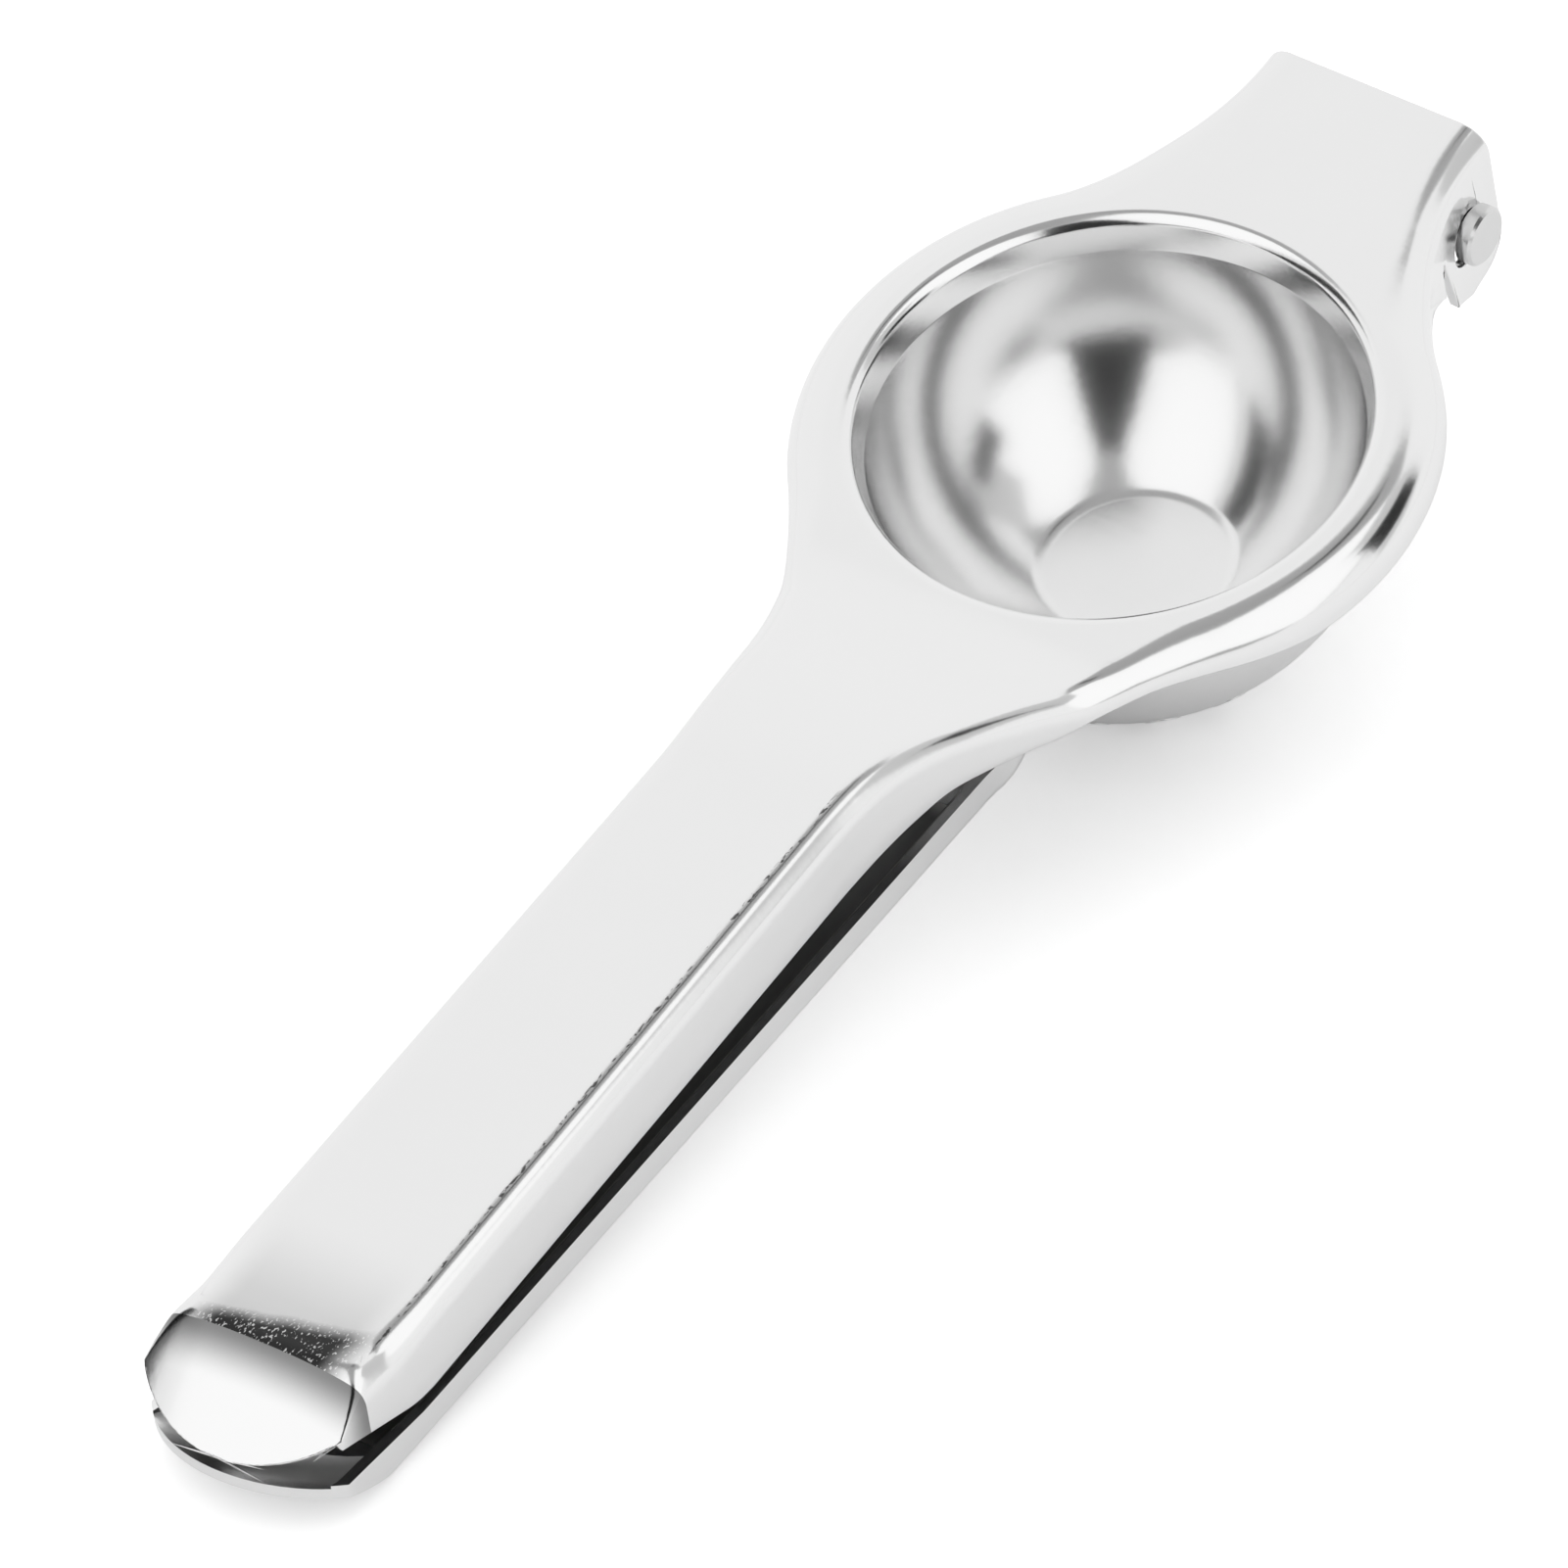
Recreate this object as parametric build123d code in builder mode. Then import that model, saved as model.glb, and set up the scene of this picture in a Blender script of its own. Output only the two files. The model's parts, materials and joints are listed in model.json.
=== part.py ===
"""Hinged lemon squeezer: two levers pressed from steel sheet on one riveted hinge pin.

The squeezer is modelled closed. Both levers are first made in the squeezer's own frame:
the ring centre of the press lever is the origin, its plate's top face is z = 0, +X points
to the hinge and +Y across the levers. The closed squeezer is then laid on a flat surface,
on the strainer bowl and the end of the strainer handle.
"""

from build123d import *
from math import asin, atan2, cos, degrees, hypot, pi, radians, sin, sqrt, tan
import os

# ---- Sheet and clearances
sheet = 1.2                   # thickness of the steel sheet of both levers
side_clearance = 0.4          # between the nested flanges at the hinge, each side
pin_clearance = 0.05          # radial, hinge pin in the strainer lever's ears
ear_gap = 0.5                 # between each pin head and the press lever's ear
cutter_over = 6.0             # how far blanks and cutters run past what they trim

# ---- Press lever (the upper one), plan
ring_band = 6.7               # plate between the cup's mouth and the outside of its flange
tab_half_width = 13.3         # hinge tab, outside
tab_end = 49.9                # end of the hinge tab, from the ring centre
tab_blend = 36.0              # hollow radius where the ring runs into the tab
neck_blend = 77.0             # hollow radius where the ring runs into the handle
handle_neck_half = 11.1       # handle, half width where it leaves the neck
handle_neck_x = -66.0
handle_end_half = 11.9        # handle, half width at its corners
corner_reach = 4.8            # the sides of the handle run this far past the crest
tongue_reach = 6.0            # the rounded tongue past those corners
press_bend = 3.0              # outside radius of the turned-down edge

# ---- Press lever, side view (heights are of the outer face of the sheet)
crank_start_x = -32.0         # the handle is cranked up out of the ring's plane here
crank_angle = 24.0
crank_start_bend = 14.0
crank_end_bend = 40.0
handle_line_height = 7.4      # height of the handle's line, carried back to the ring centre
handle_slope = 2.6            # degrees, rising to the end
ridge_x = -153.7              # crest across the handle where the tongue begins
ridge_rise = 1.1              # height of the crest above the handle's line
ridge_ramp = 5.2              # length of the ramp up to it
ridge_half_width = 6.5
tongue_fall = 6.4             # the tongue is a piece of a sphere, its tip this far below the crest
tongue_back = 19.0            # the sphere's centre, from the crest towards the ring
facet_length = 5.7            # flat facets take down the corners from here
facet_fall = 1.4              # and start this far below the crest

# ---- Press lever, edge of the flange (depths are below the ring's plane)
ring_flange = 5.5
ring_flange_ramp = 7.5        # it runs to this depth from the relief slot in this length
ring_flange_far = -12.0       # and keeps it to here
neck_flange = 3.3             # it is shallower under the neck
neck_flange_ramp = 15.0
neck_flange_far = -36.5       # from here it rises
neck_flange_rise = 13.5
handle_gap = 1.2              # between the two handles' flanges under the crest
handle_flange_x = -64.0       # the flange's edge is parallel to the handle from here
flange_bend = 14.0            # rounding of the edge between these runs
flange_lift = 8.7             # this far from the crest it starts to rise to the corners
corner_drop = 5.5             # those corners, below the crest
tongue_clear = 2.0            # the edges end this far below the tip of the tongue
slot_width = 0.8              # relief slot between flange and ear, at its top
slot_setback = 12.9           # from the end of the tab
slot_top = 7.6
slot_flange = 11.3            # depth of the flange where it ends at the slot
ear_lean = 1.9                # the ear's inner edge runs this far towards the hinge
ear_inner_depth = 15.9        # at this depth
ear_bottom = 17.9
ear_toe = 3.5                 # length of the slant between inner edge and bottom
ear_corner = 4.0
ear_hole_shift = 0.85         # its centre is off the pin's: the lever hangs on the pin

# ---- Press cup
cup_sphere = 26.0             # inside radius of the ball-shaped wall
cup_rim_flare = 0.8           # the collar's mouth is wider than the ball by this
cup_lip = 1.2                 # rolled edge between plate and cup
cup_collar_depth = 3.6        # steep collar below the lip
cup_floor_radius = 10.0
cup_sphere_rise = 0.9         # its centre above the plate's top face
cup_knuckle = 1.6             # blends: collar to wall, and wall to flat floor

# ---- Strainer lever (the lower one, its own heights are measured down from its underside)
nest_depth = 5.6              # its plate's underside, below the press lever's top face
nest_gap = 0.8                # between its ring and the press lever's flange
strainer_bend = 1.8
strainer_tab_over = 1.8       # its hinge tab runs this far past the press lever's
strainer_tab_drop = 8.7       # its hinge tab lies this far below its ring plate
strainer_drop_start = 31.5
strainer_drop_run = 9.0
strainer_drop_bend = 5.0
strainer_tab_blend = 9.0
strainer_neck_blend = 22.0
strainer_crank_x = -31.0      # its handle is cranked down, as the other is cranked up
strainer_crank_angle = 48.0
strainer_crank_bend = 5.0
strainer_line_height = 9.97   # the handle's line, carried back to the ring centre
strainer_slope = -5.15        # degrees, it comes back up towards the end
tip_space = 3.65              # between the outer faces of the two tongues' tips
strainer_tongue_back = 17.5
strainer_ring_flange = 2.8    # its flange is turned up, past its underside by this much
strainer_flange_near = 28.0
strainer_ear_ramp = 6.0
strainer_flange_far = -18.0
strainer_neck_flange = 1.0
strainer_neck_ramp = 5.0
strainer_neck_far = -31.0
strainer_handle_flange = 4.7
strainer_handle_ramp = 7.0
strainer_flange_bend = 5.0
strainer_corner_drop = 6.6
strainer_ear_rise = 0.8       # its ears end this far past its underside
strainer_ear_corner = 5.0
squeeze_gap = 5.1             # room under the cup, at the bottom of the bowl
bowl_floor_radius = 10.0
bowl_lip = 2.0
bowl_knuckle = 1.6
drain_radius = 1.6
drain_rings = ((0, 1), (15.5, 6), (31.0, 12), (46.5, 18))   # polar angle, holes in the ring

# ---- Hinge pin
pin_setback = 5.35            # from the end of the press lever's tab
pin_depth = 9.6               # axis below the press lever's top face
pin_radius = 2.25
head_radius = 3.2
head_thickness = 1.65
head_chamfer = 0.3
far_head_dome = 0.9           # the far head is the one formed on assembly

# ---- Worked out from the above
cup_rim_radius = cup_sphere + cup_rim_flare
ring_radius = cup_rim_radius + ring_band
pin_x = tab_end - pin_setback
pin_z = -pin_depth
slot_x = tab_end - slot_setback
ear_hole_radius = pin_radius + ear_hole_shift + pin_clearance
nest_inset = sheet + side_clearance
strainer_ring_radius = ring_radius - sheet - nest_gap
strainer_tab_end = tab_end + strainer_tab_over
bowl_sphere = cup_sphere + sheet
bowl_centre = cup_sphere_rise - squeeze_gap
handle_corner_x = ridge_x - corner_reach
tongue_end = handle_corner_x - tongue_reach
far = tongue_end - cutter_over
near = strainer_tab_end + cutter_over
deep = 30.0                   # blanks and cutters reach this far from the ring's plane
wide = 2 * ring_radius


def line_height(x, root, slope):
    """Outer face of a handle along its straight run, above its ring's plane."""
    return root - x * tan(radians(slope))


def press_height(x):
    """The press handle's line."""
    return line_height(x, handle_line_height, handle_slope)


def strainer_height(x):
    """The strainer handle's line, upside down."""
    return line_height(x, strainer_line_height, strainer_slope)


def crank_end(start, angle, root, slope):
    """Where a crank's slope meets the line of its handle."""
    rise, run = tan(radians(angle)), tan(radians(slope))
    return (rise * start - root) / (rise - run)


def corners_at(sketch, x):
    """The corners of a side view's outer face near a given distance along the lever."""
    return sketch.vertices().filter_by(lambda v: abs(v.X - x) < sheet and v.Y > -deep / 2)


def lever_plan(ring, tab_half, tab_round, neck_round, inset):
    """Paddle outline of a lever, both ends run on past the finished lever."""
    taper = (handle_end_half - handle_neck_half) / (handle_neck_x - handle_corner_x)
    far_half = handle_end_half + taper * (handle_corner_x - far)
    root_half = handle_neck_half + taper * handle_neck_x
    with BuildSketch(Plane.XY.offset(-deep)) as plan:
        Circle(ring)
        with BuildLine():
            Polyline((0, tab_half), (near, tab_half), (near, -tab_half), (0, -tab_half), close=True)
        make_face()
        tab_corners = plan.vertices().filter_by(lambda v: 0 < v.X < tab_end)
        fillet(tab_corners, radius=tab_round)
        with BuildLine():
            Polyline((0, root_half), (far, far_half), (far, -far_half), (0, -root_half), close=True)
        make_face()
        neck_corners = plan.vertices().filter_by(lambda v: handle_neck_x < v.X < 0)
        fillet(neck_corners, radius=neck_round)
        if inset:
            offset(amount=-inset, kind=Kind.INTERSECTION)
    return plan.sketch


def press_side(inset):
    """Side view of the press lever's blank: ring and tab, crank, handle, ramp and crest."""
    ramp_x = ridge_x + ridge_ramp
    crank_end_x = crank_end(crank_start_x, crank_angle, handle_line_height, handle_slope)
    with BuildSketch(Plane.XZ.offset(-wide)) as side:
        with BuildLine():
            Polyline(
                (near, 0),
                (crank_start_x, 0),
                (crank_end_x, press_height(crank_end_x)),
                (ramp_x, press_height(ramp_x)),
                (ridge_x, press_crest),
                (far, press_crest),
                (far, -deep),
                (near, -deep),
                close=True,
            )
        make_face()
        fillet(corners_at(side, crank_start_x), radius=crank_start_bend)
        fillet(corners_at(side, crank_end_x), radius=crank_end_bend)
        fillet(corners_at(side, ramp_x), radius=ridge_ramp)
        fillet(corners_at(side, ridge_x), radius=ridge_ramp)
        if inset:
            offset(amount=-inset, kind=Kind.INTERSECTION)
    return side.sketch


def strainer_side(inset):
    """Side view of the strainer lever's blank, upside down: stepped tab, ring, crank, handle."""
    crank_end_x = crank_end(
        strainer_crank_x, strainer_crank_angle, strainer_line_height, strainer_slope
    )
    drop_end = strainer_drop_start + strainer_drop_run
    with BuildSketch(Plane.XZ.offset(-wide)) as side:
        with BuildLine():
            Polyline(
                (near, strainer_tab_drop),
                (drop_end, strainer_tab_drop),
                (strainer_drop_start, 0),
                (strainer_crank_x, 0),
                (crank_end_x, strainer_height(crank_end_x)),
                (far, strainer_height(far)),
                (far, -deep),
                (near, -deep),
                close=True,
            )
        make_face()
        fillet(corners_at(side, drop_end), radius=strainer_drop_bend)
        fillet(corners_at(side, strainer_drop_start), radius=strainer_drop_bend)
        fillet(corners_at(side, strainer_crank_x), radius=strainer_crank_bend)
        fillet(corners_at(side, crank_end_x), radius=strainer_crank_bend)
        if inset:
            offset(amount=-inset, kind=Kind.INTERSECTION)
    return side.sketch


def blank(plan, side, bend):
    """A lever's outer or inner form: plan and side view crossed, the long edges rounded."""
    with BuildPart() as form:
        extrude(plan, amount=2 * deep, dir=(0, 0, 1))
        extrude(side, amount=2 * wide, dir=(0, -1, 0), mode=Mode.INTERSECT)
        rim = form.edges().filter_by(lambda e: e.center().Z > -deep * 0.6)
        rim = rim.filter_by(Axis.Y, reverse=True).filter_by(Axis.Z, reverse=True)
        fillet(rim, radius=bend)
    return form.part


def crest_line(inset):
    """Half of the crease where the tongue meets the handle: straight, then out to the corner."""
    lean = (handle_end_half - ridge_half_width) / (ridge_x - handle_corner_x)
    side_y = handle_end_half - inset
    start_y = ridge_half_width + inset
    return start_y, side_y, ridge_x - (side_y - start_y) / lean


def beyond_crest(inset):
    """Plan of all that lies past the crease."""
    start_y, side_y, side_x = crest_line(inset)
    with BuildSketch(Plane.XY.offset(-deep)) as plan:
        with BuildLine():
            Polyline(
                (ridge_x, start_y),
                (side_x, side_y),
                (side_x, wide),
                (far - cutter_over, wide),
                (far - cutter_over, -wide),
                (side_x, -wide),
                (side_x, -side_y),
                (ridge_x, -start_y),
                close=True,
            )
        make_face()
    return plan.sketch


def tongue_plan(inset):
    """Plan of the tongue: from the crease to its round end, or on past it for the hollow."""
    start_y, side_y, side_x = crest_line(inset)
    with BuildSketch(Plane.XY.offset(-deep)) as plan:
        with BuildLine():
            Polyline((side_x, side_y), (ridge_x, start_y), (ridge_x, -start_y), (side_x, -side_y))
            if inset:
                Polyline((side_x, side_y), (far, side_y), (far, -side_y), (side_x, -side_y))
            else:
                ThreePointArc((side_x, side_y), (tongue_end, 0), (side_x, -side_y))
        make_face()
    return plan.sketch


def tongue(radius, centre, inset):
    """The domed tongue that closes the handle's end."""
    with BuildPart() as dome:
        extrude(tongue_plan(inset), amount=2 * deep, dir=(0, 0, 1))
        with Locations(centre):
            Sphere(radius - inset, mode=Mode.INTERSECT)
    return dome.part


def lever_form(plan, side, bend, radius, centre, inset):
    """Outer or inner form of a whole lever, tongue and all."""
    body = blank(plan, side, bend - inset)
    end = beyond_crest(inset)
    dome = tongue(radius, centre, inset)
    with BuildPart() as form:
        add(body)
        with Locations(*corner_facets(inset)):
            Box(deep, deep, deep, align=(Align.CENTER, Align.CENTER, Align.MIN), mode=Mode.SUBTRACT)
        extrude(end, amount=2 * deep, dir=(0, 0, 1), mode=Mode.SUBTRACT)
        add(dome)
    return form.part


def rounded_off(form, radius, centre, inset):
    """A form whose end falls away as a piece of a sphere."""
    with BuildPart() as beyond:
        with Locations((centre[0], 0, 0)):
            Box(-far, wide, 4 * deep, align=(Align.MAX, Align.CENTER, Align.CENTER))
        with Locations(centre):
            Sphere(radius - inset, mode=Mode.SUBTRACT)
    with BuildPart() as rounded:
        add(form)
        add(beyond.part, mode=Mode.SUBTRACT)
    return rounded.part


def past_tongue():
    """Plan of what lies past a handle's round end."""
    corner, opposite = (handle_corner_x, handle_end_half), (handle_corner_x, -handle_end_half)
    with BuildSketch(Plane.XY.offset(-deep)) as plan:
        with BuildLine():
            ThreePointArc(corner, (tongue_end, 0), opposite)
            Polyline(opposite, (handle_corner_x, -wide), (2 * far, -wide))
            Polyline((2 * far, -wide), (2 * far, wide), (handle_corner_x, wide), corner)
        make_face()
    return plan.sketch


def tongue_ball(height, fall, back):
    """Radius and centre of a tongue's sphere, through the crest and through its tip."""
    tip = back + ridge_x - tongue_end
    above = ((tip**2 - back**2) / fall + fall) / 2
    return hypot(above, back), (ridge_x + back, 0, height - above)


def ball_height(radius, centre, x, y):
    """Height of a tongue's sphere over a point."""
    return centre[2] + sqrt(radius**2 - (x - centre[0]) ** 2 - y**2)


def corner_facets(inset):
    """Planes beside the crest that take the handle's corners down to the tongue."""
    facets = []
    for side in (1, -1):
        crest_end = Vector(ridge_x, side * ridge_half_width, press_crest)
        low = ball_height(*press_tongue, handle_corner_x, handle_end_half)
        corner = Vector(handle_corner_x, side * handle_end_half, low)
        start = Vector(ridge_x + facet_length, side * handle_end_half, press_crest - facet_fall)
        square = (start - crest_end).cross(corner - crest_end) * side
        facets.append(Plane(origin=crest_end, x_dir=start - crest_end, z_dir=square).offset(-inset))
    return facets


def below_line(points, bend):
    """Side view of all that lies below a flange's edge, given from the hinge to the tongue."""
    with BuildSketch(Plane.XZ.offset(-wide)) as below:
        with BuildLine():
            Polyline(*points, (far - sheet, -2 * deep), (near + sheet, -2 * deep), close=True)
        make_face()
        bends = below.vertices().filter_by(lambda v: ridge_x < v.X < slot_x)
        fillet(bends, radius=bend)
    return below.sketch


def hinge_end_cut(end, ear_edge, corner):
    """Side view of what goes at the hinge end, with a round corner left on the ears."""
    with BuildSketch(Plane.XZ.offset(-wide)) as beyond:
        with Locations((end, 0)):
            Rectangle(near, 4 * deep, align=(Align.MIN, Align.CENTER))
        with Locations((end - corner, ear_edge)):
            Rectangle(corner, corner, align=Align.MIN)
        with Locations((end - corner, ear_edge + corner)):
            Circle(corner, mode=Mode.SUBTRACT)
    return beyond.sketch


def bowl_hollow(level, rise, sphere, floor_radius, knuckle, lip, rim=0.0, collar=0.0):
    """Half section of a bowl's hollow: rolled lip, collar if it has one, ball and flat floor."""
    start = level - collar
    start_radius = sqrt(sphere**2 - (rise - start) ** 2)
    floor = rise - sqrt(sphere**2 - floor_radius**2)
    rim_radius = rim if collar else start_radius
    with BuildSketch(Plane.XZ) as hollow:
        with BuildLine():
            ball_start, ball_end = (start_radius, start), (floor_radius, floor)
            steepest = (atan2(start - rise, start_radius) + atan2(floor - rise, floor_radius)) / 2
            halfway = (sphere * cos(steepest), rise + sphere * sin(steepest))
            ThreePointArc(ball_start, halfway, ball_end)
            Polyline(ball_end, (0, floor), (0, deep), (wide, deep), (wide, level), (rim_radius, level))
            if collar:
                Line((rim_radius, level), ball_start)
        make_face()
        fillet(hollow.vertices().sort_by_distance((rim_radius, level))[0], radius=lip)
        fillet(hollow.vertices().sort_by_distance((floor_radius, floor))[0], radius=knuckle)
        if collar:
            fillet(hollow.vertices().sort_by_distance((start_radius, start))[0], radius=knuckle)
    return hollow.sketch


def bowl_wall(hollow, level, join):
    """Half section of the drawn sheet round a hollow, out to where it joins the plate."""
    with BuildSketch(Plane.XZ) as wall:
        add(hollow)
        offset(amount=sheet, kind=Kind.ARC)
        with BuildLine():
            Polyline((0, level), (join, level), (join, -wide), (0, -wide), close=True)
        make_face(mode=Mode.INTERSECT)
        add(hollow, mode=Mode.SUBTRACT)
    return wall.sketch


def draw_bowl(wall, level, join):
    """Opens the plate and turns the bowl's wall in its place."""
    with Locations((0, 0, level)):
        Cylinder(join, 4 * sheet, mode=Mode.SUBTRACT)
    revolve(wall, axis=Axis.Z)


def relief_slot():
    """Side view of the slot that frees each ear from the ring's flange."""
    inner_x = slot_x + slot_width
    with BuildSketch(Plane.XZ.offset(-wide)) as slot:
        with BuildLine():
            Polyline(
                (slot_x, -slot_top),
                (inner_x, -slot_top),
                (inner_x + ear_lean, -ear_inner_depth),
                (inner_x + ear_lean, -ear_bottom - sheet),
                (slot_x, -ear_bottom - sheet),
                close=True,
            )
        make_face()
    return slot.sketch


def drill_ears(x, z, radius):
    """The hinge pin's holes, through both ears."""
    with Locations(Plane(origin=(x, 0, z), x_dir=(1, 0, 0), z_dir=(0, 1, 0))):
        Cylinder(radius, wide, mode=Mode.SUBTRACT)


def drill_drains(polar, count):
    """One ring of drain holes, each square to the bowl's wall."""
    for step in range(count):
        turn = 2 * pi * step / count
        out = Vector(sin(radians(polar)) * cos(turn), sin(radians(polar)) * sin(turn), -cos(radians(polar)))
        centre = Vector(0, 0, bowl_centre) + out * bowl_sphere
        with Locations(Plane(origin=centre, z_dir=out)):
            Cylinder(drain_radius, 2 * cutter_over, mode=Mode.SUBTRACT)


def crosswise(profile):
    """Carries a side view right across the lever, as a cut."""
    extrude(profile, amount=2 * wide, dir=(0, -1, 0), mode=Mode.SUBTRACT)


# ---- Where the two handles' lines end
press_crest = press_height(ridge_x) + ridge_rise
strainer_crest = strainer_height(ridge_x)
strainer_top_edge = strainer_handle_flange - strainer_crest - nest_depth
handle_flange = press_height(ridge_x) - strainer_top_edge - handle_gap
press_tongue = tongue_ball(press_crest, tongue_fall, tongue_back)
strainer_fall = press_crest - tongue_fall - tip_space + strainer_crest + nest_depth
strainer_tongue = tongue_ball(strainer_crest, strainer_fall, strainer_tongue_back)
lift_x = ridge_x + flange_lift

# ---- Press lever
press_forms = [
    lever_form(
        lever_plan(ring_radius, tab_half_width, tab_blend, neck_blend, skin),
        press_side(skin),
        press_bend,
        *press_tongue,
        skin,
    )
    for skin in (0, sheet)
]
press_edge = below_line(
    [
        (near + sheet, -ear_bottom),
        (slot_x + slot_width + ear_lean + ear_toe, -ear_bottom),
        (slot_x + slot_width + ear_lean, -ear_inner_depth),
        (slot_x, -slot_flange),
        (slot_x - ring_flange_ramp, -ring_flange),
        (ring_flange_far, -ring_flange),
        (ring_flange_far - neck_flange_ramp, -neck_flange),
        (neck_flange_far, -neck_flange),
        (neck_flange_far - neck_flange_rise, press_height(handle_flange_x) - handle_flange),
        (handle_flange_x, press_height(handle_flange_x) - handle_flange),
        (lift_x, press_height(lift_x) - handle_flange),
        (handle_corner_x, press_crest - corner_drop),
        (tongue_end, press_crest - tongue_fall - tongue_clear),
        (far - sheet, -deep),
    ],
    flange_bend,
)
cup = bowl_hollow(
    0,
    cup_sphere_rise,
    cup_sphere,
    cup_floor_radius,
    cup_knuckle,
    cup_lip,
    cup_rim_radius,
    cup_collar_depth,
)
cup_join = cup_rim_radius + cup_lip
cup_wall = bowl_wall(cup, 0, cup_join)

with BuildPart() as press_lever:
    add(press_forms[0])
    add(press_forms[1], mode=Mode.SUBTRACT)
    crosswise(press_edge)
    crosswise(relief_slot())
    draw_bowl(cup_wall, 0, cup_join)
    drill_ears(pin_x - ear_hole_shift, pin_z, ear_hole_radius)
    crosswise(hinge_end_cut(tab_end, -ear_bottom, ear_corner))

# ---- Strainer lever, made upside down and then turned over under the press lever
strainer_tab_half = tab_half_width - nest_inset
strainer_outline = (strainer_ring_radius, strainer_tab_half, strainer_tab_blend, strainer_neck_blend)
strainer_forms = [
    rounded_off(
        blank(lever_plan(*strainer_outline, skin), strainer_side(skin), strainer_bend - skin),
        *strainer_tongue,
        skin,
    )
    for skin in (0, sheet)
]
flange_from = strainer_neck_far - strainer_handle_ramp
strainer_edge = below_line(
    [
        (near + sheet, -strainer_ear_rise),
        (strainer_flange_near + strainer_ear_ramp, -strainer_ear_rise),
        (strainer_flange_near, -strainer_ring_flange),
        (strainer_flange_far, -strainer_ring_flange),
        (strainer_flange_far - strainer_neck_ramp, -strainer_neck_flange),
        (strainer_neck_far, -strainer_neck_flange),
        (flange_from, strainer_height(flange_from) - strainer_handle_flange),
        (lift_x, strainer_height(lift_x) - strainer_handle_flange),
        (handle_corner_x, strainer_crest - strainer_corner_drop),
        (tongue_end, strainer_crest - strainer_fall - tongue_clear),
        (far - sheet, -deep),
    ],
    strainer_flange_bend,
)
strainer_top = sheet - nest_depth
bowl = bowl_hollow(strainer_top, bowl_centre, bowl_sphere, bowl_floor_radius, bowl_knuckle, bowl_lip)
bowl_join = bowl_sphere + bowl_lip
strainer_wall = bowl_wall(bowl, strainer_top, bowl_join)

with BuildPart() as strainer_blank:
    add(strainer_forms[0])
    add(strainer_forms[1], mode=Mode.SUBTRACT)
    crosswise(strainer_edge)
    extrude(past_tongue(), amount=2 * deep, dir=(0, 0, 1), mode=Mode.SUBTRACT)
    crosswise(hinge_end_cut(strainer_tab_end, -strainer_ear_rise, strainer_ear_corner))

with BuildPart() as strainer_lever:
    mirror(strainer_blank.part, about=Plane.XY.offset(-nest_depth / 2))
    draw_bowl(strainer_wall, strainer_top, bowl_join)
    for polar, count in drain_rings:
        drill_drains(polar, count)
    drill_ears(pin_x, pin_z, pin_radius + pin_clearance)

# ---- Hinge pin: flat head on the near side, domed head on the far side
pin_axis = Plane(origin=(pin_x, 0, pin_z), x_dir=(0, 1, 0), z_dir=(1, 0, 0))
head_start = tab_half_width + ear_gap
head_end = head_start + head_thickness
head_edge = head_end - far_head_dome
dome_radius = (head_radius**2 + far_head_dome**2) / (2 * far_head_dome)
dome_half = asin(head_radius / dome_radius) / 2
dome_middle = (head_end - dome_radius * (1 - cos(dome_half)), dome_radius * sin(dome_half))
with BuildPart() as hinge_pin:
    with BuildSketch(pin_axis):
        with BuildLine():
            Polyline(
                (head_edge, head_radius),
                (head_start, head_radius),
                (head_start, pin_radius),
                (-head_start, pin_radius),
                (-head_start, head_radius),
                (head_chamfer - head_end, head_radius),
                (-head_end, head_radius - head_chamfer),
                (-head_end, 0),
                (head_end, 0),
            )
            ThreePointArc((head_end, 0), dome_middle, (head_edge, head_radius))
        make_face()
    revolve(axis=Axis((pin_x, 0, pin_z), (0, 1, 0)))

# ---- Laying down: a line from the strainer handle's crest under the bowl becomes the table
bowl_floor = bowl_centre - sqrt(bowl_sphere**2 - bowl_floor_radius**2)
knuckle_z = bowl_floor + bowl_knuckle
knuckle_x = -sqrt((bowl_sphere - bowl_knuckle) ** 2 - (bowl_centre - knuckle_z) ** 2)
run = knuckle_x - ridge_x
fall = knuckle_z + nest_depth + strainer_crest
under = asin((bowl_knuckle + sheet) / hypot(run, fall))
tilt = degrees(atan2(fall, run) - under)
pieces = {"press_lever": press_lever, "strainer_lever": strainer_lever, "hinge_pin": hinge_pin}
for piece in pieces.values():
    piece.part.move(Rot(0, tilt, 0))
boxes = [piece.part.bounding_box() for piece in pieces.values()]
lowest = min(box.min.Z for box in boxes)
middle = (min(box.min.X for box in boxes) + max(box.max.X for box in boxes)) / 2

os.makedirs("parts", exist_ok=True)
for name, piece in pieces.items():
    piece.part.move(Pos(-middle, 0, -lowest))
    piece.part.label = name
    export_step(piece.part, f"parts/{name}.step")

hinge_at = Pos(-middle, 0, -lowest) * Rot(0, tilt, 0) * Pos(pin_x, 0, pin_z)
print("tilt", tilt, "hinge axis along Y at", hinge_at.position, "lowest", lowest, "middle", middle)
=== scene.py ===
# %% [markdown]
# # A hinged lemon squeezer in polished sheet steel
# The squeezer lies closed on a pale table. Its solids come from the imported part, one mesh for
# each piece: the press lever, the strainer lever and the hinge pin. This lesson gives them a
# finish, draws the press lever again with its softly rolled edges, raises a rim round the drain
# holes, sets the studio round the squeezer and places the camera.

# %% The frame
import json
import math
import bmesh
import bpy
from mathutils import Matrix, Vector


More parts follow.
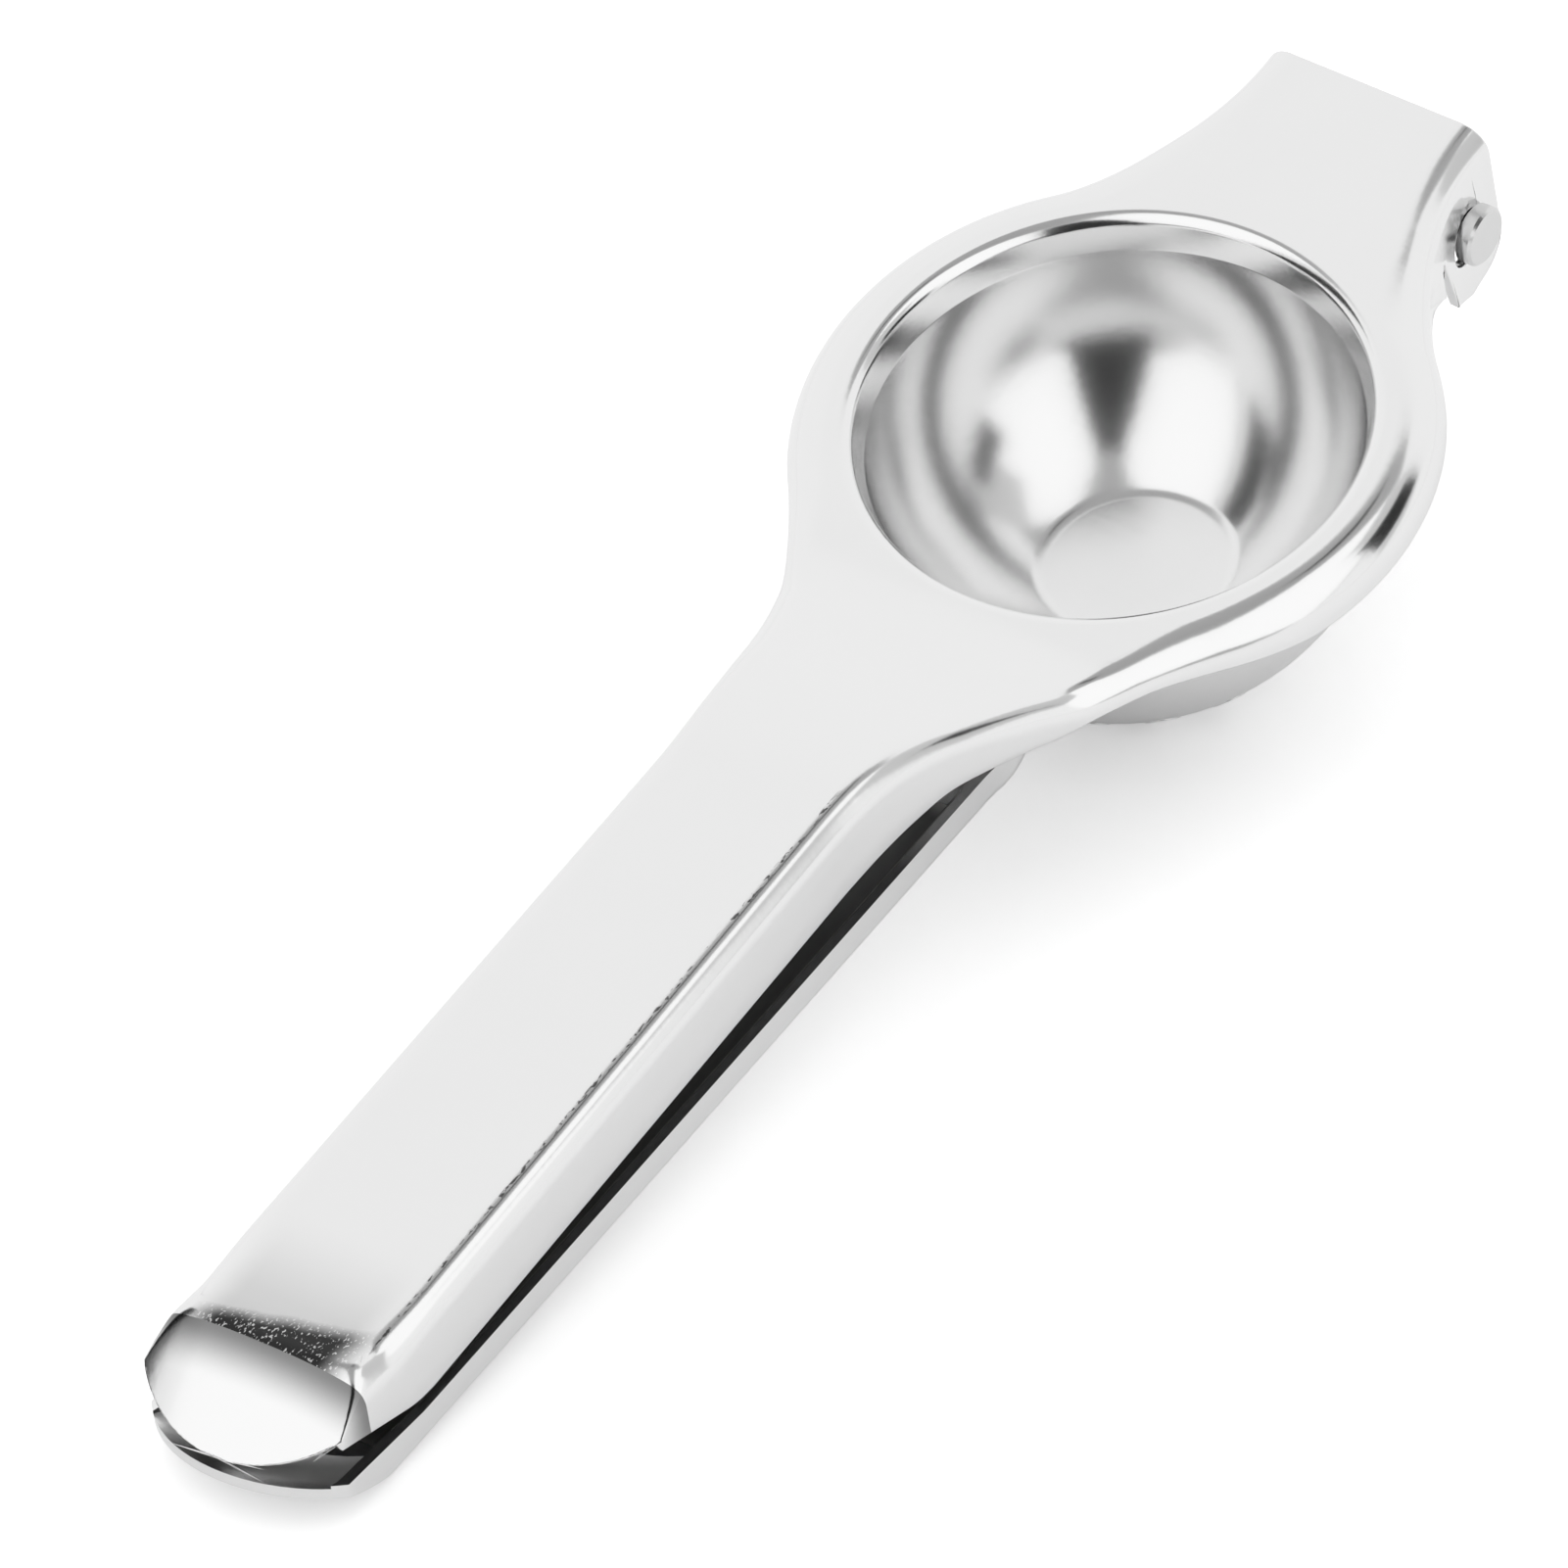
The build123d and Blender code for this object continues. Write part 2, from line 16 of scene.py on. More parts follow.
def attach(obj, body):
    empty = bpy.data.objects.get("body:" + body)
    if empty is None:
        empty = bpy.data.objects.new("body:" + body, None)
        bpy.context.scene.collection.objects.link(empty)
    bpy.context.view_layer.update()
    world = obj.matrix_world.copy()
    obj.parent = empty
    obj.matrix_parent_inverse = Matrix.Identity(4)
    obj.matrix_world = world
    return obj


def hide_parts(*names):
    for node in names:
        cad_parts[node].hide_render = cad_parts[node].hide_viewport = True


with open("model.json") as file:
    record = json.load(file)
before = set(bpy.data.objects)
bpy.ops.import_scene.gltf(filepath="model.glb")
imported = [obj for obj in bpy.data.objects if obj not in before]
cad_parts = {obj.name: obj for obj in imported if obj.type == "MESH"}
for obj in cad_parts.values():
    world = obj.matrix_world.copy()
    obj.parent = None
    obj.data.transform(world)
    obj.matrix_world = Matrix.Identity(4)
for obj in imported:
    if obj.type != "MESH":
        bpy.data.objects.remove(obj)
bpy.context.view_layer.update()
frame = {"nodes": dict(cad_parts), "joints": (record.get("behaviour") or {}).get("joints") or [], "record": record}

# %% [markdown]
# The squeezer was designed in its own frame, with the ring's plane level, and then tipped until
# it rests on its bowl and on the end of its lower handle. Both the camera and the meshes below
# are easier to place in that first frame, so one matrix carries it to the table.

# %% From the ring's frame to the table
MM = 0.001
PIN_FROM_RING = Vector((44.55, 0.0, -9.6)) * MM

floor_axis = Vector(frame["record"]["mounts"][0]["axis"])
hinge = Vector(frame["joints"][0]["pos_m"])
tilt = math.atan2(-floor_axis.x, -floor_axis.z)
tip = Matrix.Rotation(tilt, 4, "Y")
TO_TABLE = Matrix.Translation(hinge - tip @ PIN_FROM_RING) @ tip
print("tilt", round(math.degrees(tilt), 2), "ring centre", tuple(round(v, 4) for v in TO_TABLE.translation))

# %% [markdown]
# ## Finishes
# Polished steel that has been handled shows three things: hair-fine scratches along and across
# it, faint smudges that change how sharply it mirrors, and a very slight waviness left by the
# press tool. Every part of the squeezer has them in its own measure, so they are made once, as a
# node group that puts out a roughness and a height. A few helpers keep the groups readable.

# %% Helpers for node groups
def new_group(name, inputs, outputs, kind="Shader", result="Float"):
    """An empty node group with float inputs and their values, and outputs of one type."""
    tree = bpy.data.node_groups.new(name, kind + "NodeTree")
    for label, value in inputs.items():
        socket = tree.interface.new_socket(name=label, in_out="INPUT", socket_type="NodeSocketFloat")
        socket.default_value = value
    for label in outputs:
        tree.interface.new_socket(name=label, in_out="OUTPUT", socket_type="NodeSocket" + result)
    return tree, tree.nodes.new("NodeGroupInput").outputs, tree.nodes.new("NodeGroupOutput").inputs


def connect(tree, value, socket):
    """Links an output to a socket, or sets the socket to a value."""
    if isinstance(value, bpy.types.NodeSocket):
        tree.links.new(value, socket)
    else:
        socket.default_value = value


def maths(tree, what, *values):
    """One Math node; its inputs are outputs of other nodes or plain numbers."""
    made = tree.nodes.new("ShaderNodeMath")
    made.operation = what
    for socket, value in zip(made.inputs, values):
        connect(tree, value, socket)
    return made.outputs[0]


def product(tree, *values):
    """All the values multiplied."""
    result = values[0]
    for value in values[1:]:
        result = maths(tree, "MULTIPLY", result, value)
    return result


def between(tree, value, low, high):
    """Rises smoothly from 0 at low to 1 at high, or falls where low is the larger."""
    made = tree.nodes.new("ShaderNodeMapRange")
    made.interpolation_type = "SMOOTHSTEP"
    for label, given in (("Value", value), ("From Min", low), ("From Max", high)):
        connect(tree, given, made.inputs[label])
    return made.outputs["Result"]


print("helpers", [helper.__name__ for helper in (new_group, connect, maths, product, between)])

# %% [markdown]
# Noise gives all the grain. It is read on the object's own coordinates, so it stays on the steel
# when a lever swings, and a stretch along one axis turns specks into scratches.

# %% Handled steel
SCRATCH_SCALE, WAVE_SCALE = 900.0, 60.0
SCRATCH_ALONG, SCRATCH_ACROSS = (0.08, 1, 1), (1, 0.1, 1)


def noise(tree, scale, detail, stretch=(1, 1, 1)):
    """Noise about zero on the object's own coordinates, stretched for grain with a direction."""
    place = tree.nodes.new("ShaderNodeTexCoord")
    shape = tree.nodes.new("ShaderNodeMapping")
    shape.inputs["Scale"].default_value = stretch
    tree.links.new(place.outputs["Object"], shape.inputs["Vector"])
    grain = tree.nodes.new("ShaderNodeTexNoise")
    grain.inputs["Scale"].default_value = scale
    grain.inputs["Detail"].default_value = detail
    tree.links.new(shape.outputs["Vector"], grain.inputs["Vector"])
    return maths(tree, "SUBTRACT", grain.outputs["Fac"], 0.5)


def handled_steel_group():
    """Roughness and height of steel that has been used and wiped."""
    sizes = {"Roughness": 0.12, "Smudge": 0.05, "Scratch": 0.5, "Wave": 0.5}
    tree, given, result = new_group("handled_steel", sizes, ("Roughness", "Height"))
    along = noise(tree, SCRATCH_SCALE, 2.0, SCRATCH_ALONG)
    across = noise(tree, SCRATCH_SCALE, 2.0, SCRATCH_ACROSS)
    scratches = product(tree, maths(tree, "ADD", along, across), given["Scratch"])
    waves = product(tree, noise(tree, WAVE_SCALE, 1.0), given["Wave"])
    smudges = product(tree, noise(tree, WAVE_SCALE, 3.0), given["Smudge"])
    connect(tree, maths(tree, "ADD", given["Roughness"], smudges), result["Roughness"])
    connect(tree, maths(tree, "ADD", scratches, waves), result["Height"])
    return tree


handled_steel = handled_steel_group()
print("group", handled_steel.name, len(handled_steel.nodes), "nodes")

# %% [markdown]
# Some of the finish depends on the place: the drawn cup is wavier than the plates, the polishing
# wheel doesn't reach the step in front of the handle's crest, and nothing is polished between the
# two handles. Round the crest and between the handles the colour is also darkened as painted shade.
# A second group turns the surface's own coordinates into masks for those places, by carrying them
# back to the ring's frame first.

# %% The ring's frame on the surface
CUP_MOUTH, CUP_MASK_DEPTH = 27.2 * MM, 3 * MM


def ring_coordinates(tree):
    """The surface's own coordinates, carried back to the ring's frame."""
    place = tree.nodes.new("ShaderNodeTexCoord")
    level = tree.nodes.new("ShaderNodeMapping")
    level.vector_type = "TEXTURE"
    level.inputs["Location"].default_value = TO_TABLE.translation
    level.inputs["Rotation"].default_value = (0.0, tilt, 0.0)
    tree.links.new(place.outputs["Object"], level.inputs["Vector"])
    axes = tree.nodes.new("ShaderNodeSeparateXYZ")
    tree.links.new(level.outputs["Vector"], axes.inputs["Vector"])
    return axes.outputs


def cup_mask(tree, x, y, z):
    """Inside the cup's mouth and below the ring."""
    radius = maths(tree, "SQRT", maths(tree, "ADD", product(tree, x, x), product(tree, y, y)))
    below_ring = between(tree, z, 0.0, -CUP_MASK_DEPTH)
    return product(tree, between(tree, radius, CUP_MOUTH, CUP_MOUTH - MM), below_ring)


print("cup mask within", CUP_MOUTH / MM, "mm of the ring's centre")

# %% [markdown]
# The crest is the step where the handle's top meets the tongue. In front of it the steel is scored
# and painted dark as shade, further forward lies a faint painted shadow, and behind it a soft grey
# band of painted shade.

# %% Places at the crest
CREST, CREST_HALF, CREST_BAND, TONGUE_BAND = -153.7 * MM, 6.5 * MM, 6.0 * MM, 5.0 * MM
CREST_FADE_OUT, CREST_FADE_IN = 3.5 * MM, 0.5 * MM
CREST_SWING, CREST_FEATHER = -0.28, 0.6
RAGGED_SCALE, RAGGED_DEPTH = 260.0, 1.2 * MM


def crest_masks(tree, x, y, beside):
    """Painted shade: the scratched step, the shadow in front of it and the grey band behind it."""
    ragged = maths(tree, "MULTIPLY_ADD", noise(tree, RAGGED_SCALE, 2.0), RAGGED_DEPTH, x)
    upper_end = maths(tree, "MULTIPLY_ADD", y, CREST_SWING, CREST + CREST_BAND)
    # The step in front of the crest, scratched, and painted dark as shade.
    scratched_and_shaded = between(tree, maths(tree, "SUBTRACT", ragged, upper_end), 0.0, -CREST_FEATHER * CREST_BAND)
    on_step = between(tree, beside, CREST_HALF + CREST_FADE_OUT, CREST_HALF - CREST_FADE_IN)
    in_front = product(tree, on_step, maths(tree, "GREATER_THAN", x, CREST))
    # A faint painted shadow further in front of the crest.
    shade = between(tree, x, CREST + 3 * CREST_BAND, CREST)
    # A grey band of painted shade on the tongue behind the crest.
    behind = between(tree, x, CREST - TONGUE_BAND, CREST)
    return {
        "Crest": product(tree, scratched_and_shaded, in_front),
        "Shadow": product(tree, shade, in_front),
        "Tongue": product(tree, behind, maths(tree, "LESS_THAN", x, CREST)),
    }


print("crest at", round(CREST / MM, 1), "mm from the ring's centre")

# %% [markdown]
# Along the handle there are two more places: a fine row of nicks beside the rolled edge, left by
# the press tool, and the inside of the lower handle, which begins one skin's depth below its outer
# faces; it is dull, and painted dark as the shade that falls between the two handles.

# %% Places along the handle
HANDLE_START, HANDLE_STOP, HANDLE_FADE = -43.0 * MM, -151.0 * MM, 4 * MM
HANDLE_ROOT_HALF, HANDLE_TAPER = 10.53, 0.00865
LOWER_FLOOR, LOWER_SLOPE = -15.57 * MM, math.tan(math.radians(5.15))
SKIN_START, SKIN_END = 0.9 * MM, 1.15 * MM
SEAM_INSET, SEAM_HALF, SEAM_START, SEAM_CORE = 2.3 * MM, 0.3 * MM, -61.0 * MM, 0.3


def handle_masks(tree, x, y, z, beside):
    """The whole handle, the row of nicks and the inside of the lower handle, where painted shade goes."""
    near_end = between(tree, x, HANDLE_STOP, HANDLE_STOP + HANDLE_FADE)
    handle = product(tree, between(tree, x, HANDLE_START, HANDLE_START - HANDLE_FADE), near_end)
    half = maths(tree, "MULTIPLY_ADD", x, -HANDLE_TAPER, HANDLE_ROOT_HALF * MM)
    inset = maths(tree, "SUBTRACT", maths(tree, "ADD", half, y), SEAM_INSET)
    on_seam = between(tree, maths(tree, "ABSOLUTE", inset), SEAM_HALF, SEAM_CORE * SEAM_HALF)
    straight = between(tree, x, SEAM_START, SEAM_START - HANDLE_FADE)
    height = maths(tree, "SUBTRACT", z, maths(tree, "MULTIPLY_ADD", x, -LOWER_SLOPE, LOWER_FLOOR))
    depth = maths(tree, "MINIMUM", height, maths(tree, "SUBTRACT", half, beside))
    return {
        "Seam": product(tree, on_seam, handle, straight),
        "Handle": handle,
        # Dull, and painted dark as the shade that falls between the two handles.
        "Shaded Inside Of Lower Handle": product(tree, between(tree, depth, SKIN_START, SKIN_END), handle),
    }


def places_group():
    """All the masks, one output for each place."""
    labels = ("Cup", "Crest", "Shadow", "Tongue", "Seam", "Handle", "Shaded Inside Of Lower Handle")
    tree, _, result = new_group("places_on_the_levers", {}, labels)
    x, y, z = ring_coordinates(tree)
    beside = maths(tree, "ABSOLUTE", y)
    masks = {"Cup": cup_mask(tree, x, y, z)}
    masks.update(crest_masks(tree, x, y, beside))
    masks.update(handle_masks(tree, x, y, z, beside))
    for label, mask in masks.items():
        connect(tree, mask, result[label])
    return tree


places = places_group()
print("group", places.name, len(places.nodes), "nodes")

# %% [markdown]
# A mask darkens the steel by mixing its colour towards black; except for the nicks, this is painted
# shade. At the crest the mixture is broken up by fine noise, so the step looks scored and the nicks
# look like a row of separate marks.

# %% How dark the painted shade and the nicks are
STEP_SHADE, TONGUE_SHADE, SHADOW_DARK, NICK_DARK, GAP_SHADE = 0.98, 0.75, 0.30, 0.8, 0.75
SCORE_SCALE, SCORE_STRETCH, SCORE_RANGE = 3600.0, (0.5, 1, 1), (0.15, 0.09)
NICK_SCALE, NICK_STRETCH, NICK_RANGE = 2600.0, (0.3, 1, 1), (0.02, 0.10)


def crest_shade(tree, where):
    """Painted shade: black and scratched in front of the crest, a soft grey band behind it; and the nicks."""
    scratched_and_shaded = between(tree, noise(tree, SCORE_SCALE, 3.0, SCORE_STRETCH), *SCORE_RANGE)
    nicked = between(tree, noise(tree, NICK_SCALE, 3.0, NICK_STRETCH), *NICK_RANGE)
    # Every mark here but the nicks is painted shade.
    shades = (
        product(tree, where["Crest"], scratched_and_shaded, STEP_SHADE),
        product(tree, where["Seam"], nicked, NICK_DARK),
        product(tree, where["Shadow"], SHADOW_DARK),
        product(tree, where["Tongue"], TONGUE_SHADE),
    )
    darkest = shades[0]
    for shade in shades[1:]:
        darkest = maths(tree, "MAXIMUM", darkest, shade)
    return darkest


print("darkest place", max(STEP_SHADE, TONGUE_SHADE, SHADOW_DARK, NICK_DARK, GAP_SHADE))

# %% [markdown]
# A metal's colour in Blender is its reflectance. Stainless steel is a pale, neutral grey, so the
# base colours stay close together, and the pieces differ in how sharply they mirror.

# %% Steel finishes
# The black that painted shade, and the nicks, mix towards.
DARK = (0.02, 0.02, 0.02, 1.0)
CUP_WAVES, CUP_DULL, UNPOLISHED_DULL = 3.0, 0.04, 0.25
BUMP_DISTANCE = 0.01 * MM


def add_group(tree, group):
    """A node that holds a group."""
    made = tree.nodes.new("ShaderNodeGroup")
    made.node_tree = group
    return made


def toned(tree, grey, shade):
    """A grey that a mask takes towards black, for painted shade and for the nicks."""
    tone = tree.nodes.new("ShaderNodeMix")
    tone.data_type = "RGBA"
    tone.inputs["A"].default_value = (grey, grey, grey, 1.0)
    tone.inputs["B"].default_value = DARK
    tree.links.new(shade, tone.inputs["Factor"])
    return tone.outputs["Result"]


def steel(name, grey, roughness, smudge, scratch, wave, dull_and_shaded="Crest"):
    """A stainless finish. Its last argument names the place that is rough and painted with shade."""
    material = bpy.data.materials.new(name)
    material.use_nodes = True
    tree = material.node_tree
    metal = tree.nodes["Principled BSDF"].inputs
    metal["Metallic"].default_value = 1.0
    wear, where = add_group(tree, handled_steel), add_group(tree, places).outputs
    for socket, value in zip(wear.inputs, (roughness, smudge, scratch)):
        socket.default_value = value
    connect(tree, maths(tree, "MULTIPLY_ADD", where["Cup"], CUP_WAVES * wave, wave), wear.inputs["Wave"])
    dull = maths(tree, "MULTIPLY_ADD", where[dull_and_shaded], UNPOLISHED_DULL, wear.outputs["Roughness"])
    connect(tree, maths(tree, "MULTIPLY_ADD", where["Cup"], CUP_DULL, dull), metal["Roughness"])
    # The darkening is painted shade: round the crest for the press lever, in the gap between the handles for the
    # rest.
    if dull_and_shaded == "Crest":
        shade = crest_shade(tree, where)
    else:
        shade = product(tree, where[dull_and_shaded], GAP_SHADE)
    connect(tree, toned(tree, grey, shade), metal["Base Color"])
    bump = tree.nodes.new("ShaderNodeBump")
    bump.inputs["Distance"].default_value = BUMP_DISTANCE
    connect(tree, wear.outputs["Height"], bump.inputs["Height"])
    connect(tree, bump.outputs["Normal"], metal["Normal"])
    return material


finishes = {
    "press_lever": steel("press_steel", 0.83, 0.15, 0.05, 0.5, 0.7),
    # The strainer's lower handle is dull inside, and painted dark there as the shade between the handles.
    "strainer_lever": steel("strainer_steel", 0.82, 0.18, 0.05, 0.5, 0.7, "Shaded Inside Of Lower Handle"),
    "hinge_pin": steel("pin_steel", 0.70, 0.25, 0.05, 0.6, 0.2, "Shaded Inside Of Lower Handle"),
}
# The lever's underside, painted dark along the handle as the shade in the gap between the handles.
underside_with_gap_shade = steel("inside_steel", 0.72, 0.28, 0.1, 0.8, 0.5, "Handle")
for piece, finish in finishes.items():
    mesh = frame["nodes"][piece].data
    mesh.materials.clear()
    mesh.materials.append(finish)
print("finishes", [m.name for m in finishes.values()], underside_with_gap_shade.name)

# %% [markdown]
# ## The press lever
# On the real squeezer the rolled edge isn't the same all round: it is wide round the ring, tight
# along the handle, and at the handle's end it opens out into the tongue. A solid with one bend
# radius can't show that, so the lever is drawn again as a surface. Its top is a height over the
# plan, worked out at stations along the lever; the flange hangs from its edge, the cup is turned
# in the hole, and Solidify gives the sheet its thickness. Sizes here are in millimetres, in the
# ring's frame.

# %% Sizes of the press lever
SHEET = 1.2
RING_RADIUS, NECK_ROUND, TAB_ROUND = 33.5, 77.0, 36.0
TAB_HALF, TAB_END, TAB_CORNER = 13.3, 49.9, 4.0
CORNER_X, CORNER_HALF, TONGUE_END = -158.5, 11.9, -164.5
CREST_X, RAMP_X, CREST_RISE = -153.7, -148.5, 1.1
HANDLE_HEIGHT, HANDLE_SLOPE = 7.4, math.tan(math.radians(2.6))
HANDLE_DEPTH, FLANGE_START, FLANGE_END = 10.2, -145.0, -64.0
CRANK_X, CRANK_SLOPE = -32.0, math.tan(math.radians(24.0))
TONGUE_FALL, TONGUE_BACK = 6.4, 19.0


def handle_line(x):
    """Height of the handle's straight run."""
    return HANDLE_HEIGHT - HANDLE_SLOPE * x


CREST_Z = handle_line(CREST_X) + CREST_RISE
print("crest", round(CREST_Z, 2), "mm above the ring")

# %% [markdown]
# A side view is a row of straight runs with round corners. This helper turns one into a function
# of the distance along the lever, and its first half rounds the cup's profile too.

# %% Round corners
def corner_arc(before, corner, after, radius):
    """Start, end and centre of the arc that rounds a corner."""
    back, on = (before - corner).normalized(), (after - corner).normalized()
    half = back.angle(on) / 2
    reach = radius / math.tan(half)
    centre = corner + (back + on).normalized() * (radius / math.sin(half))
    return corner + back * reach, corner + on * reach, centre


def side_view(points, radii):
    """Height as a function of x, for points in order of x and one radius for each inner point."""
    points = [Vector(p) for p in points]
    arcs = [(*corner_arc(*points[i:i + 3], radius), radius, points[i + 1])
            for i, radius in enumerate(radii)]

    def height(x):
        for start, end, centre, radius, corner in arcs:
            if start.x < x < end.x:
                rise = math.sqrt(radius**2 - (x - centre.x) ** 2)
                return centre.y + math.copysign(rise, corner.y - centre.y)
        for low, high in zip(points, points[1:]):
            if x <= high.x:
                break
        return low.y + (high.y - low.y) * (x - low.x) / (high.x - low.x)

    return height


def smooth_between(keys):
    """A function that eases from one given value to the next."""
    def value(x):
        for (low, a), (high, b) in zip(keys, keys[1:]):
            if x <= high:
                break
        share = min(max((x - low) / (high - low), 0.0), 1.0)
        return a + (b - a) * share * share * (3 - 2 * share)

    return value


print("halfway from 0 to 1", smooth_between([(0, 0.0), (1, 1.0)])(0.5))

# %% [markdown]
# Three curves give the lever from the side: its top, with the ramp to the crest and the crank
# down to the ring; the lower edge of its flange, with the ears at the hinge; and the radius of
# the roll between them.

# %% The lever from the side
crank_end_x = (CRANK_SLOPE * CRANK_X - HANDLE_HEIGHT) / (CRANK_SLOPE - HANDLE_SLOPE)
top_height = side_view(
    [(TONGUE_END, CREST_Z), (CREST_X, CREST_Z), (RAMP_X, handle_line(RAMP_X)),
     (crank_end_x, handle_line(crank_end_x)), (CRANK_X, 0.0), (TAB_END, 0.0)],
    [5.0, 9.0, 40.0, 14.0],
)
neck_edge = handle_line(FLANGE_END) - HANDLE_DEPTH
flange_edge = side_view(
    [(CORNER_X, CREST_Z - 5.5), (FLANGE_START, handle_line(FLANGE_START) - HANDLE_DEPTH),
     (FLANGE_END, neck_edge), (-50.0, neck_edge), (-36.5, -3.3), (-27.0, -3.3), (-12.0, -5.5),
     (29.5, -5.5), (37.0, -11.3), (39.7, -15.9), (43.2, -17.9), (TAB_END, -17.9)],
    [14.0] * 7 + [0.2] * 3,
)
roll = smooth_between([
    (CORNER_X, 4.1), (-148.0, 3.2), (-140.0, 2.7), (-66.0, 2.7), (-38.0, 3.4),
    (-18.0, 4.4), (24.0, 4.4), (36.0, 3.0), (TAB_END, 3.0),
])
print("heights at the crank", [round(top_height(x), 1) for x in (-60, -45, -30)])

# %% [markdown]
# In plan the lever is a ring with two hollow curves running out of it, one to the handle and one
# to the hinge tab. Each hollow touches the ring and a straight side, which fixes its centre.

# %% Plan of the press lever
def hollow_between(offset, slope, radius, towards):
    """Centre of a round that touches the ring and the line y = offset + slope x, and both ends' x."""
    square = Vector((-slope, 1.0)).normalized()
    out = square.y * offset + radius
    along = Vector((square.y, -square.x)) * towards
    centre = square * out + along * math.sqrt((RING_RADIUS + radius) ** 2 - out**2)
    return centre, centre.x * RING_RADIUS / (RING_RADIUS + radius), centre.x - square.x * radius


neck, neck_ring_x, neck_handle_x = hollow_between(HANDLE_ROOT_HALF, -HANDLE_TAPER, NECK_ROUND, -1)
tab, tab_ring_x, tab_side_x = hollow_between(TAB_HALF, 0.0, TAB_ROUND, 1)
end_radius = (CORNER_HALF**2 + (CORNER_X - TONGUE_END) ** 2) / (2 * (CORNER_X - TONGUE_END))
end_x = TONGUE_END + end_radius


def half_width(x):
    """Half the lever's width."""
    if x < CORNER_X:
        return math.sqrt(max(end_radius**2 - (x - end_x) ** 2, 0.0))
    if x < neck_handle_x:
        return HANDLE_ROOT_HALF - HANDLE_TAPER * x
    if x < neck_ring_x:
        return neck.y - math.sqrt(NECK_ROUND**2 - (x - neck.x) ** 2)
    if x < tab_ring_x:
        return math.sqrt(RING_RADIUS**2 - x * x)
    if x < tab_side_x:
        return tab.y - math.sqrt(TAB_ROUND**2 - (x - tab.x) ** 2)
    return TAB_HALF


print("half widths", [round(half_width(x), 1) for x in (-160, -100, -40, 0, 40)])

# %% [markdown]
# The tongue is a piece of a sphere. Where it cuts the rolled top of the handle it leaves the
# crest, straight across the flat and then swinging out to the corners, so the surface is simply
# the lower of the two, blended over about a millimetre.

# %% The tongue
CREST_BLEND = 0.9


def tongue_ball():
    """Radius and centre of the sphere, from how far the tongue falls and where it is highest."""
    tip_reach = TONGUE_BACK + CREST_X - TONGUE_END
    above = ((tip_reach**2 - TONGUE_BACK**2) / TONGUE_FALL + TONGUE_FALL) / 2
    return math.hypot(above, TONGUE_BACK), Vector((CREST_X + TONGUE_BACK, 0.0, CREST_Z - above))


ball_radius, ball_centre = tongue_ball()


def tongue_height(x, y):
    """Height of the sphere."""
    return ball_centre.z + math.sqrt(ball_radius**2 - (x - ball_centre.x) ** 2 - y * y)


def lower_of(a, b, blend=CREST_BLEND):
    """The lower of two values, eased where they are less than the blend apart."""
    return min(a, b) - max(blend - abs(a - b), 0.0) ** 2 / (4 * blend)


print("tongue on a ball of", round(ball_radius, 1), "mm")

# %% [markdown]
# Each station is a row of points from the outer edge of the roll to the middle of the lever, or
# to the cup's mouth. The roll is a quarter turn. It is stretched where the outline runs at a
# slant, so that it measures the same square to the edge, and it stays a little less deep than
# the flange.

# %% One station
LEAN_STEP, CREST_REACH = 0.01, 12.0
FLANGE_SPARE, FLANGE_EASE, PLATE_SPARE = 0.3, 0.8, 0.2
CUP_JOIN = 28.0


def lean(x):
    """How fast the half width grows along the lever."""
    if x <= CORNER_X:
        return 0.0
    return (half_width(x + LEAN_STEP) - half_width(x - LEAN_STEP)) / (2 * LEAN_STEP)


def beside_and_fall(x, bend_steps=12, plate_steps=18):
    """Distance beside the middle and fall below the top, for each point of a station."""
    half, depth = half_width(x), top_height(x) - flange_edge(max(x, CORNER_X))
    radius = lower_of(roll(x), depth - FLANGE_SPARE, FLANGE_EASE)
    reach = min(radius * math.hypot(1.0, lean(x)), half - PLATE_SPARE)
    inner = math.sqrt(max(CUP_JOIN**2 - x * x, 0.0))
    turns = [math.pi / 2 * i / bend_steps for i in range(bend_steps, 0, -1)]
    bend = [(half - reach + reach * math.sin(t), radius * (1 - math.cos(t))) for t in turns]
    shares = range(plate_steps + 1)
    return bend + [(half - reach + (inner - half + reach) * i / plate_steps, 0.0) for i in shares]


def row(x):
    """The points of one station."""
    points = beside_and_fall(x)
    if x < CORNER_X:
        return [(x, y, tongue_height(x, y)) for y, _ in points]
    if x > CREST_X + CREST_REACH:
        return [(x, y, top_height(x) - fall) for y, fall in points]
    return [(x, y, lower_of(top_height(x) - fall, tongue_height(x, y))) for y, fall in points]


print("points in a station", len(row(0.0)))

# %% [markdown]
# The stations lie close together where the shape changes quickly: at the tongue, the crest and
# the corners of the hinge tab. Round the cup they follow its join, so that both have the same
# points there.

# %% Stations along the lever
TONGUE_STEPS, RING_STEPS = 16, 96
HANDLE_RUNS = ((CORNER_X, -145.0, 0.35), (-145.0, -58.0, 2.0), (-58.0, -CUP_JOIN, 1.0))
TAB_RUNS = ((CUP_JOIN, TAB_END - TAB_CORNER, 0.7), (TAB_END - TAB_CORNER, TAB_END, 0.25))


def spread(low, high, steps):
    """Evenly spaced values, with both ends."""
    return [low + (high - low) * i / steps for i in range(steps + 1)]


def spaced(runs):
    """Values along some runs, each given by its ends and about how far apart its values are."""
    return [x for low, high, step in runs for x in spread(low, high, round((high - low) / step))[:-1]]


def half_turn(i):
    """Angle of one of the steps of half a turn."""
    return math.radians(-90 + 180 * i / RING_STEPS)


